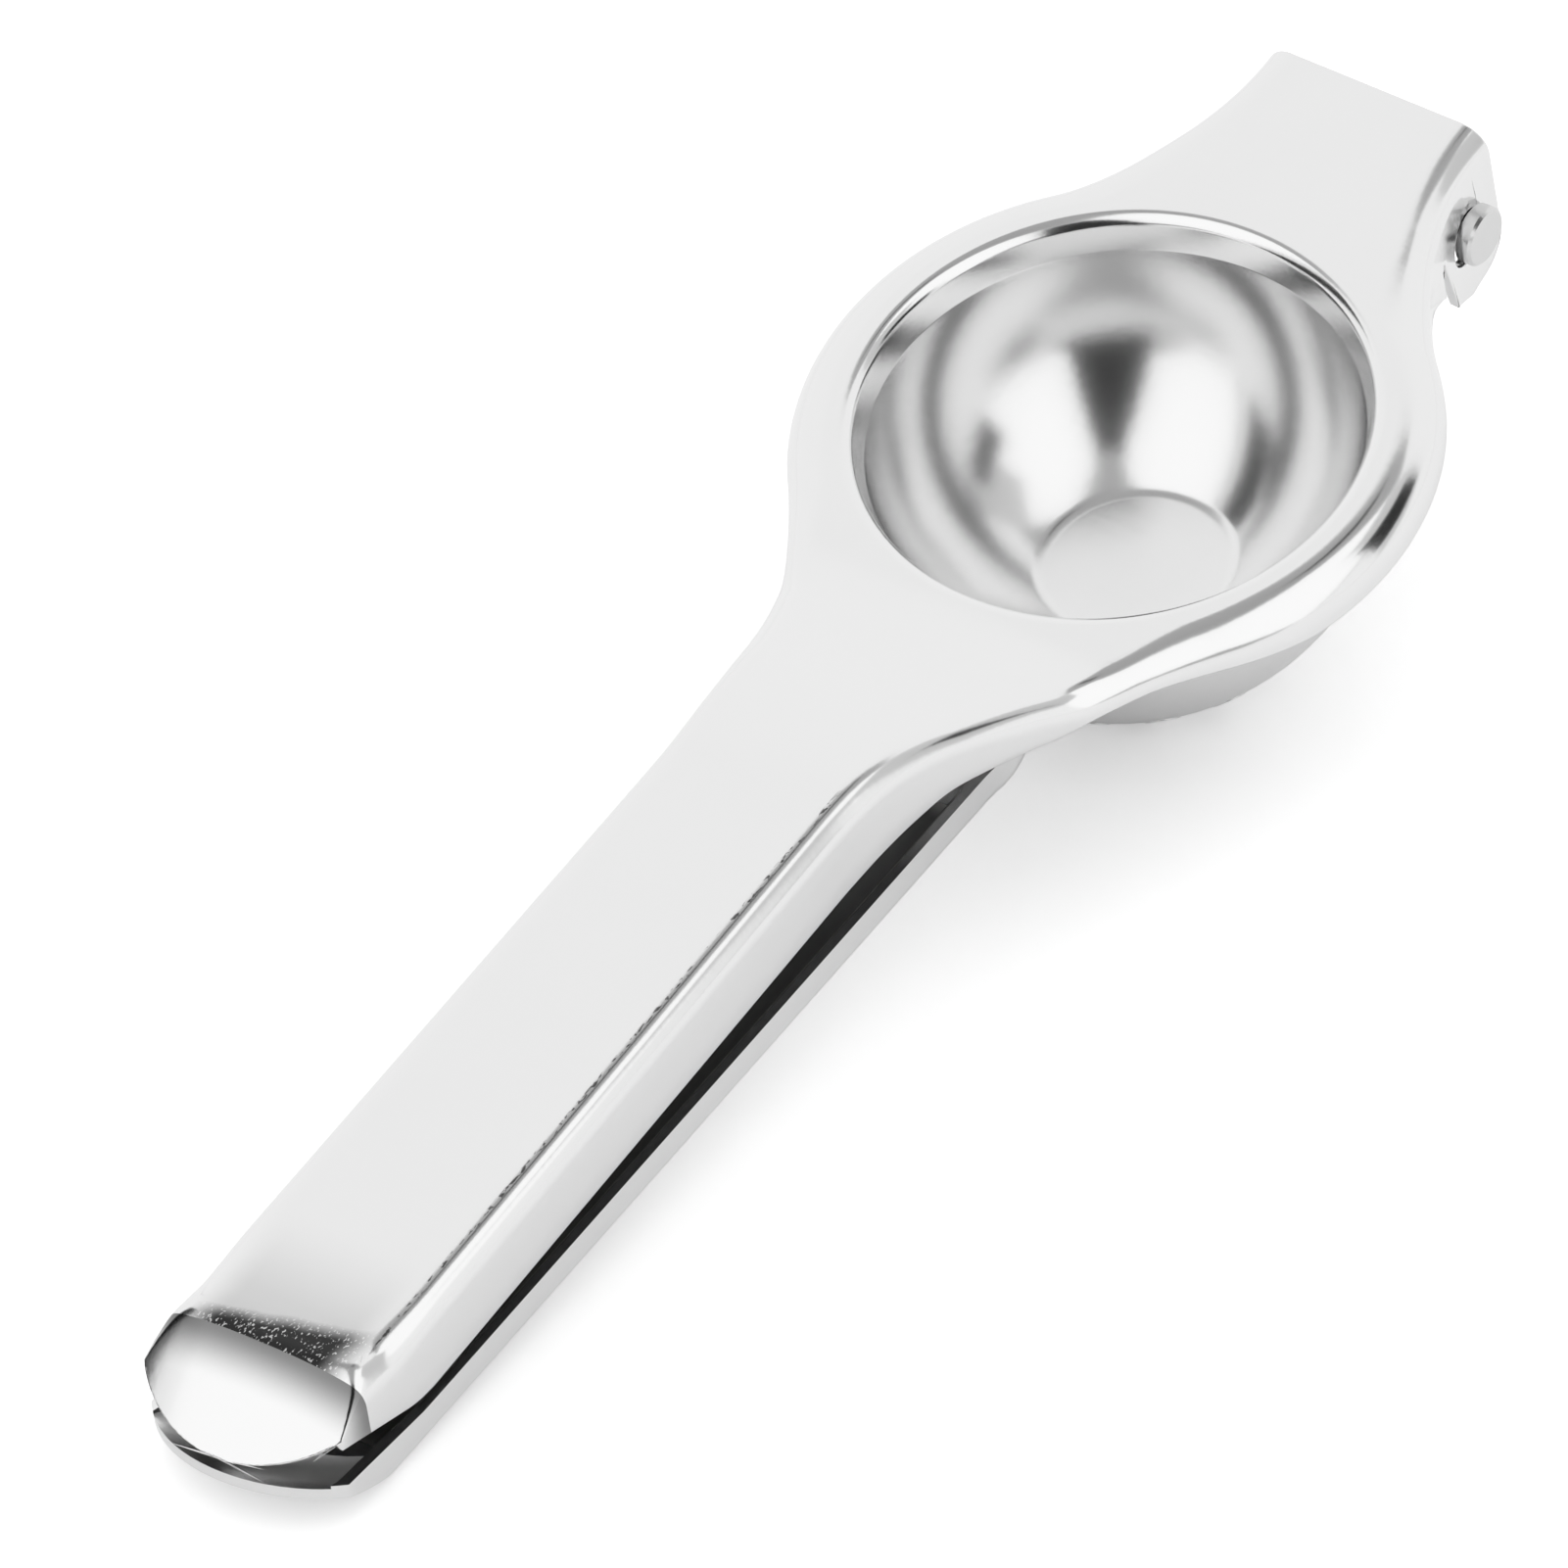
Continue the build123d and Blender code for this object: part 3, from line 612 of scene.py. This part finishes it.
def stations():
    """Places along the lever, from the tongue's end to the hinge."""
    arc = math.asin(CORNER_HALF / end_radius)
    tongue = [end_x - end_radius * math.cos(arc * i / TONGUE_STEPS) for i in range(1, TONGUE_STEPS)]
    ring = [CUP_JOIN * math.sin(half_turn(i)) for i in range(RING_STEPS)]
    return tongue + spaced(HANDLE_RUNS) + ring + spaced(TAB_RUNS) + [TAB_END]


print("stations", len(stations()))

# %% [markdown]
# The cup is turned round the ring's centre. Its profile is a lip, a short steep collar, the ball,
# a knuckle and a flat floor. Both bends of the collar are a little wider than the sheet is
# thick, because the sheet's other side would fold over itself in a tighter one.

# %% Profile of the cup
CUP_RIM, CUP_COLLAR, CUP_LIP = 26.8, 3.6, 1.5
CUP_BALL, CUP_BALL_RISE, CUP_KNUCKLE, CUP_FLOOR = 26.0, 0.9, 4.0, 10.0


def rounded(line, i, radius, steps):
    """Points of the arc that rounds one corner of a line."""
    first, last, middle = corner_arc(*line[i - 1:i + 2], radius)
    spots = [first.lerp(last, share) - middle for share in spread(0, 1, steps)]
    return [middle + spot.normalized() * radius for spot in spots]


def cup_profile(ball_steps=40, corner_steps=6):
    """Radius and height, from the join with the ring to the middle of the floor."""
    drop = math.sqrt(CUP_BALL**2 - CUP_FLOOR**2)
    inner = CUP_BALL - CUP_KNUCKLE
    low = math.asin((CUP_BALL_RISE + CUP_COLLAR) / CUP_BALL)
    turn = math.asin((drop - CUP_KNUCKLE) / inner)
    centre = Vector((inner * math.cos(turn), CUP_BALL_RISE - drop + CUP_KNUCKLE))
    ball = [Vector((CUP_BALL * math.cos(a), CUP_BALL_RISE - CUP_BALL * math.sin(a)))
            for a in spread(low, turn, ball_steps)]
    line = [Vector((CUP_JOIN + 1, 0.0)), Vector((CUP_RIM, 0.0))] + ball
    collar = rounded(line, 1, CUP_LIP, corner_steps) + rounded(line, 2, CUP_LIP, corner_steps)
    knuckle = [centre + Vector((math.cos(a), -math.sin(a))) * CUP_KNUCKLE
               for a in spread(turn, math.pi / 2, corner_steps)]
    floor = [Vector((centre.x / 2, knuckle[-1].y)), Vector((0.0, knuckle[-1].y))]
    return [Vector((CUP_JOIN, 0.0))] + collar + ball[1:] + knuckle[1:] + floor


print("cup profile", len(cup_profile()), "points, depth", round(-cup_profile()[-1].y, 1))

# %% [markdown]
# Rows of points become quads. One half of the lever is made at a time: the top, the flange that
# hangs from it, and half a turn of the cup. The flange rounds off at the lower corner of the ear.

# %% The outer surface
MERGE, SLIVER = 0.004 * MM, 0.002 * MM


def grid_faces(mesh, rows):
    """A quad between each four neighbouring points of two rows."""
    for a, b in zip(rows, rows[1:]):
        for i in range(len(a) - 1):
            mesh.faces.new((a[i], b[i], b[i + 1], a[i + 1]))


def flange_row(edge, steps=3):
    """Points of the flange at one station, from its lower edge up to the roll."""
    x, y, top = edge
    bottom = flange_edge(x)
    if x > TAB_END - TAB_CORNER:
        bottom += TAB_CORNER - math.sqrt(max(TAB_CORNER**2 - (x - TAB_END + TAB_CORNER) ** 2, 0.0))
    return [(x, y, top + (bottom - top) * i / steps) for i in range(steps, 0, -1)] + [edge]


def half_sheet(mesh, side):
    """One half of the lever; side is 1 or -1."""
    profile = cup_profile()
    turns = [half_turn(i) for i in range(RING_STEPS + 1)]
    top = [row(x) for x in stations()]
    hanging = [flange_row(points[0]) for points in top if points[0][0] >= CORNER_X]
    cup = [[(p.x * math.sin(t), p.x * math.cos(t), p.y) for p in profile] for t in turns]
    for rows in (top, hanging, cup):
        spots = [[TO_TABLE @ (Vector((x, side * y, z)) * MM) for x, y, z in points] for points in rows]
        grid_faces(mesh, [[mesh.verts.new(spot) for spot in points] for points in spots])


def press_sheet():
    """The outer surface of the press lever."""
    mesh = bmesh.new()
    half_sheet(mesh, 1)
    half_sheet(mesh, -1)
    bmesh.ops.remove_doubles(mesh, verts=mesh.verts, dist=MERGE)
    bmesh.ops.dissolve_degenerate(mesh, edges=mesh.edges, dist=SLIVER)
    bmesh.ops.recalc_face_normals(mesh, faces=mesh.faces)
    return mesh


def show(data, name):
    """Puts a mesh into the scene as a new object."""
    made = bpy.data.objects.new(name, data)
    bpy.context.scene.collection.objects.link(made)
    return made


def object_from(mesh, name):
    """A new object with what was built in a bmesh."""
    data = bpy.data.meshes.new(name)
    mesh.to_mesh(data)
    mesh.free()
    return show(data, name)


lever = object_from(press_sheet(), "pressed_upper_lever")
print("outer surface", len(lever.data.polygons), "faces")

# %% [markdown]
# The normals of an open sheet can come out either way, so its highest face is asked which way it
# looks. Then the sheet gets its thickness inwards, and the ears get their holes, and the slots in
# front of them, from two plain cutters.

# %% Helpers for the sheet
def face_up(made):
    """Turns a sheet over if its highest face looks down."""
    up = TO_TABLE.to_3x3() @ Vector((0, 0, 1))
    highest = max(made.data.polygons, key=lambda f: f.center.dot(up))
    if highest.normal.dot(up) < 0:
        made.data.flip_normals()


def prism(name, outline, reach=40.0):
    """A cutter right across the lever, from its side view."""
    mesh = bmesh.new()
    near = [mesh.verts.new(TO_TABLE @ (Vector((x, -reach, z)) * MM)) for x, z in outline]
    far = [mesh.verts.new(TO_TABLE @ (Vector((x, reach, z)) * MM)) for x, z in outline]
    mesh.faces.new(near)
    mesh.faces.new(far[::-1])
    for i in range(len(outline)):
        mesh.faces.new((near[i - 1], near[i], far[i], far[i - 1]))
    bmesh.ops.recalc_face_normals(mesh, faces=mesh.faces)
    return object_from(mesh, name)


def settle(made):
    """Turns what the modifiers show into a plain mesh and takes them off."""
    shown = made.evaluated_get(bpy.context.evaluated_depsgraph_get())
    finished = bpy.data.meshes.new_from_object(shown)
    made.modifiers.clear()
    made.data = finished


face_up(lever)
print("the sheet faces up")

# %% Thickness, holes and slots
EAR_HOLE, EAR_HOLE_RADIUS, HOLE_SIDES = (43.7, -9.6), 3.15, 48
EAR_SLOT = ((37.0, -7.6), (37.8, -7.6), (39.7, -15.9), (39.7, -20.0), (37.0, -20.0))
EDGE_ROUND, EDGE_ANGLE, SHADE_ANGLE = 0.15, math.radians(60), math.radians(50)


def circle(middle, radius, sides):
    """Corners of a regular polygon."""
    turns = [2 * math.pi * i / sides for i in range(sides)]
    return [(middle[0] + radius * math.cos(a), middle[1] + radius * math.sin(a)) for a in turns]


def cut_out(made, name, outline):
    """Cuts a side view out of an object, and gives back the cutter."""
    cutter = prism(name, outline)
    cut = made.modifiers.new(name, "BOOLEAN")
    cut.operation, cut.object, cut.solver = "DIFFERENCE", cutter, "EXACT"
    return cutter


lever.data.materials.append(finishes["press_lever"])
lever.data.materials.append(underside_with_gap_shade)
thick = lever.modifiers.new("thickness", "SOLIDIFY")
thick.thickness, thick.offset, thick.use_even_offset = SHEET * MM, -1.0, True
thick.material_offset = 1
cutters = [
    cut_out(lever, "hole_cutter", circle(EAR_HOLE, EAR_HOLE_RADIUS, HOLE_SIDES)),
    cut_out(lever, "slot_cutter", EAR_SLOT),
]
round_edges = lever.modifiers.new("round_edges", "BEVEL")
round_edges.width, round_edges.segments = EDGE_ROUND * MM, 2
round_edges.limit_method, round_edges.angle_limit = "ANGLE", EDGE_ANGLE
round_edges.use_clamp_overlap = False
settle(lever)
for cutter in cutters:
    bpy.data.objects.remove(cutter)
lever.data.shade_smooth()
lever.data.set_sharp_from_angle(angle=SHADE_ANGLE)
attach(lever, "press")
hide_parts("press_lever")
print("press lever", len(lever.data.polygons), "faces")

# %% [markdown]
# ## Rims of the drain holes
# Punching a hole pushes a small rounded rim out of the sheet. The holes repeat in rings round the
# bowl, so Geometry Nodes makes one rim and sets a copy of it, facing outwards, at every hole. The
# holes in the flat floor are punched the other way, and have none outside.

# %% One ring of rims
def node(tree, kind, **values):
    """A new node with its inputs linked or set; underscores stand for the spaces in their names."""
    made = tree.nodes.new(kind)
    for label, value in values.items():
        connect(tree, value, made.inputs[label.replace("_", " ")])
    return made


def place_on_ball(tree, given):
    """Where each copy goes: evenly round a circle, at a polar angle from straight down."""
    turn = maths(tree, "DIVIDE", 2 * math.pi, given["Count"])
    turn = product(tree, tree.nodes.new("GeometryNodeInputIndex").outputs[0], turn)
    wide = product(tree, given["Sphere"], maths(tree, "SINE", given["Polar Angle"]))
    low = product(tree, given["Sphere"], maths(tree, "COSINE", given["Polar Angle"]))
    x = product(tree, wide, maths(tree, "COSINE", turn))
    y = product(tree, wide, maths(tree, "SINE", turn))
    return node(tree, "ShaderNodeCombineXYZ", X=x, Y=y, Z=product(tree, low, -1.0)).outputs[0]


def one_rim(tree, given, sides=20, wire_sides=8):
    """A thin round wire bent into a circle."""
    ring = node(tree, "GeometryNodeCurvePrimitiveCircle", Resolution=sides, Radius=given["Rim Radius"])
    wire = node(tree, "GeometryNodeCurvePrimitiveCircle", Resolution=wire_sides, Radius=given["Rim Round"])
    rim = node(tree, "GeometryNodeCurveToMesh", Curve=ring.outputs[0], Profile_Curve=wire.outputs[0])
    return node(tree, "GeometryNodeSetShadeSmooth", Geometry=rim.outputs[0]).outputs[0]


def ring_of_rims():
    """Rims on one circle of a sphere about the origin."""
    sizes = {"Count": 12.0, "Polar Angle": 0.5, "Sphere": 0.03, "Rim Radius": 0.002, "Rim Round": 0.0002}
    tree, given, result = new_group("ring_of_rims", sizes, ("Geometry",), "Geometry", "Geometry")
    place = place_on_ball(tree, given)
    points = node(tree, "GeometryNodePoints", Count=given["Count"], Position=place)
    facing = node(tree, "FunctionNodeAlignRotationToVector", Vector=place)
    facing.axis = "Z"
    copies = node(tree, "GeometryNodeInstanceOnPoints", Points=points.outputs[0],
                  Instance=one_rim(tree, given), Rotation=facing.outputs[0])
    connect(tree, copies.outputs[0], result["Geometry"])
    return tree


rim_ring = ring_of_rims()
print("group", rim_ring.name, len(rim_ring.nodes), "nodes")

# %% [markdown]
# A second group holds one ring for each circle of holes in the bowl's wall. The result is turned
# into a plain mesh, carried to the table and given to the strainer, because it moves with it.

# %% Rims on the bowl
BOWL_CENTRE = Vector((0.0, 0.0, -4.2)) * MM
RIM_SPHERE = 28.33 * MM
RIM_SIZES = {"Rim Radius": 1.73 * MM, "Rim Round": 0.12 * MM}
WALL_RINGS = ((31.0, 12), (46.5, 18))


def rims_on_the_bowl():
    """A ring of rims for each polar angle and number of holes."""
    tree, given, result = new_group("rims_on_the_bowl", RIM_SIZES, ("Geometry",), "Geometry", "Geometry")
    joined = tree.nodes.new("GeometryNodeJoinGeometry")
    for polar, count in WALL_RINGS:
        ring = tree.nodes.new("GeometryNodeGroup")
        ring.node_tree = rim_ring
        ring.inputs["Count"].default_value = count
        ring.inputs["Polar Angle"].default_value = math.radians(polar)
        ring.inputs["Sphere"].default_value = RIM_SPHERE
        for label in RIM_SIZES:
            connect(tree, given[label], ring.inputs[label])
        connect(tree, ring.outputs[0], joined.inputs[0])
    solid = node(tree, "GeometryNodeRealizeInstances", Geometry=joined.outputs[0]).outputs[0]
    finished = node(tree, "GeometryNodeSetMaterial", Geometry=solid, Material=finishes["strainer_lever"])
    connect(tree, finished.outputs[0], result["Geometry"])
    return tree


rims = object_from(bmesh.new(), "drain_hole_rims")
repeat = rims.modifiers.new("rims", "NODES")
repeat.node_group = rims_on_the_bowl()
for item in repeat.node_group.interface.items_tree:
    if item.in_out == "INPUT":
        repeat[item.identifier] = RIM_SIZES[item.name]
settle(rims)
rims.data.transform(TO_TABLE @ Matrix.Translation(BOWL_CENTRE))
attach(rims, "strainer")
print("rims", len(rims.data.polygons), "faces")

# %% [markdown]
# ## The studio
# The world is white to the camera, in reflections and through glass, and gives a slightly softer
# light to everything else.

# %% World
WHITE, SOFT_LIGHT = (1, 1, 1, 1), 0.88


def white_surround():
    """A white world that lights the scene a little less brightly than it looks."""
    world = bpy.data.worlds.new("white_surround")
    world.use_nodes = True
    tree = world.node_tree
    back = tree.nodes["Background"].inputs
    back["Color"].default_value = WHITE
    rays = tree.nodes.new("ShaderNodeLightPath").outputs
    seen = maths(tree, "MAXIMUM", rays["Is Camera Ray"], rays["Is Transmission Ray"])
    seen = maths(tree, "MAXIMUM", seen, rays["Is Glossy Ray"])
    level = node(tree, "ShaderNodeMapRange", Value=seen, To_Min=SOFT_LIGHT, To_Max=1.0)
    connect(tree, level.outputs["Result"], back["Strength"])
    return world


bpy.context.scene.world = white_surround()
print("world", bpy.context.scene.world.name)

# %% [markdown]
# The table is a plain pale sheet that keeps the squeezer's shadow. It glows a little where the
# camera looks straight at it, and nowhere else, so that it runs into the white behind it.

# %% Table
TABLE_SIDE, TABLE_GREY, TABLE_ROUGH, TABLE_GLOW = 4.0, 0.95, 0.9, 0.30


def stage_panel(name, corners):
    """A flat panel of the studio, and the nodes of its own material."""
    data = bpy.data.meshes.new(name)
    data.from_pydata(corners, [], [tuple(range(len(corners)))])
    material = bpy.data.materials.new(name)
    material.use_nodes = True
    data.materials.append(material)
    panel = show(data, name)
    return panel, material.node_tree


def pale_table():
    """A square sheet at the height of zero."""
    edge = TABLE_SIDE / 2
    corners = ((-edge, -edge, 0), (edge, -edge, 0), (edge, edge, 0), (-edge, edge, 0))
    panel, tree = stage_panel("table", corners)
    surface = tree.nodes["Principled BSDF"].inputs
    surface["Base Color"].default_value = (TABLE_GREY, TABLE_GREY, TABLE_GREY, 1.0)
    surface["Roughness"].default_value = TABLE_ROUGH
    surface["Specular IOR Level"].default_value = 0.0
    surface["Emission Color"].default_value = WHITE
    seen = tree.nodes.new("ShaderNodeLightPath").outputs["Is Camera Ray"]
    connect(tree, product(tree, seen, TABLE_GLOW), surface["Emission Strength"])
    return panel


print("table", tuple(pale_table().dimensions))

# %% [markdown]
# ## Camera
# The view looks down on the upper lever from the handle's side, through a long lens, which keeps
# the two sides of the handle parallel. Its right, up and back directions are given in the ring's
# frame and carried to the table.

# %% Camera
VIEW_RIGHT = Vector((0.5418, -0.8327, -0.1134))
VIEW_UP = Vector((0.670, 0.3468, 0.6563))
VIEW_BACK = Vector((-0.5072, -0.4316, 0.7458))
FRAME_WIDTH = 158.0 * MM
FRAME_MIDDLE = VIEW_RIGHT * -32.9 * MM + VIEW_UP * -36.9 * MM + VIEW_BACK * 22.9 * MM


def place_camera(lens=1600.0, sensor=36.0):
    """A camera so far back that its lens takes in the frame's width. Gives back that distance."""
    distance = FRAME_WIDTH * lens / sensor
    turn = Matrix((VIEW_RIGHT, VIEW_UP, VIEW_BACK)).transposed().to_4x4()
    data = bpy.data.cameras.new("camera")
    data.lens, data.sensor_width = lens, sensor
    camera = show(data, "camera")
    camera.matrix_world = TO_TABLE @ Matrix.Translation(FRAME_MIDDLE + VIEW_BACK * distance) @ turn
    bpy.context.scene.camera = camera
    return distance


print("camera distance", round(place_camera(), 3))

# %% [markdown]
# ## Light
# A polished surface shows the room more than it shows itself, so most of the work is in what
# stands round the squeezer. Lamps light the table, and cards, some bright and some dark, are there
# for the steel to mirror. The cards are seen in reflections only and cast no light or shadow.

# %% Lamps
LAMP_SIDE = 1.4


def soft_lamp(name, place, power):
    """A square lamp that looks at the middle of the table and isn't mirrored itself."""
    data = bpy.data.lights.new(name, "AREA")
    data.shape, data.size, data.size_y, data.energy = "RECTANGLE", LAMP_SIDE, LAMP_SIDE, power
    lamp = show(data, name)
    lamp.location = place
    lamp.rotation_euler = (-Vector(place)).to_track_quat("-Z", "Y").to_euler()
    lamp.visible_glossy = False
    return lamp


lamps = [soft_lamp("key", (-0.5, 0.6, 1.0), 2.6), soft_lamp("fill", (0.6, -0.5, 1.0), 2.0)]
print("lamps", [lamp.name for lamp in lamps])

# %% [markdown]
# Each card glows at one level. Most of them are placed by where they appear from the ring's
# centre: so many degrees beside the camera and so many above it.

# %% One card
def seen_from_ring(beside, over):
    """The direction that lies this far beside and above the camera, in the ring's frame."""
    beside, over = math.radians(beside), math.radians(over)
    flat = VIEW_BACK * math.cos(beside) + VIEW_RIGHT * math.sin(beside)
    return flat * math.cos(over) + VIEW_UP * math.sin(over)


def card(name, level, corners):
    """A panel with this brightness, which only reflections see. Its corners are in the ring's frame."""
    panel, tree = stage_panel(name, [TO_TABLE @ corner for corner in corners])
    for ray in ("visible_camera", "visible_diffuse", "visible_shadow", "visible_transmission"):
        setattr(panel, ray, False)
    glow = node(tree, "ShaderNodeEmission", Strength=level)
    connect(tree, glow.outputs["Emission"], tree.nodes["Material Output"].inputs["Surface"])
    return panel


def far_card(name, level, distance, middle, corners):
    """A flat card that faces the ring. Its middle and corners are angles beside and above the camera."""
    facing = seen_from_ring(*middle)
    sights = [seen_from_ring(*corner) for corner in corners]
    return card(name, level, [sight * (distance / sight.dot(facing)) for sight in sights])


def upright_card(name, level, distance, middle, width, height):
    """A far card with upright sides, from its middle and how many degrees it spans."""
    left, right = middle[0] - width / 2, middle[0] + width / 2
    bottom, top = middle[1] - height / 2, middle[1] + height / 2
    corners = ((left, bottom), (right, bottom), (right, top), (left, top))
    return far_card(name, level, distance, middle, corners)


print("straight over the camera by 90 degrees:", tuple(round(v, 2) for v in seen_from_ring(0, 90)))

# %% [markdown]
# A grey room fills the cup, with a soft box on either side of it. The dark wedge below the lens
# gives the cup its dark heart, and the lighter one above it breaks the wedge off. A flag on the
# left and a card on the right draw the lines along the rolls, and two last dark cards, placed in
# the ring's own frame, draw the edge of the ring and the thin line beside the handle.

# %% Cards
BLACK_CARD = 0.02
RING_FLAG = ((34, -104, 8), (92, -96, 18), (90, -86, 62), (32, -94, 52))
CEILING_STRIP = ((250, -30, 600), (415, -30, 600), (415, 30, 600), (250, 30, 600))


def near_card(name, corners):
    """A black card with its corners in millimetres."""
    return card(name, BLACK_CARD, [Vector(corner) * MM for corner in corners])


cards = [
    upright_card("room", 0.42, 0.60, (0, 5), 124, 120),
    upright_card("left_softbox", 1.15, 0.50, (-34, 12), 54, 72),
    upright_card("right_softbox", 1.15, 0.50, (34, 12), 54, 72),
    far_card("lens_side", BLACK_CARD, 0.40, (0, -10), ((-30, -46), (30, -46), (4, 24), (-4, 24))),
    far_card("over_lens", 0.40, 0.41, (0, 35), ((-4, 18), (4, 18), (22, 52), (-22, 52))),
    upright_card("left_flag", BLACK_CARD, 0.45, (-76, 0), 18, 90),
    far_card("roll_card", 0.64, 0.44, (68, 24), ((84, -6), (92, 22), (56, 52), (46, 30))),
    near_card("ring_flag", RING_FLAG),
    near_card("ceiling_strip", CEILING_STRIP),
]
print("cards", [panel.name for panel in cards])

# %% [markdown]
# ## Colours
# The Standard view keeps the colours as they are written.

bpy.context.scene.view_settings.view_transform = "Standard"
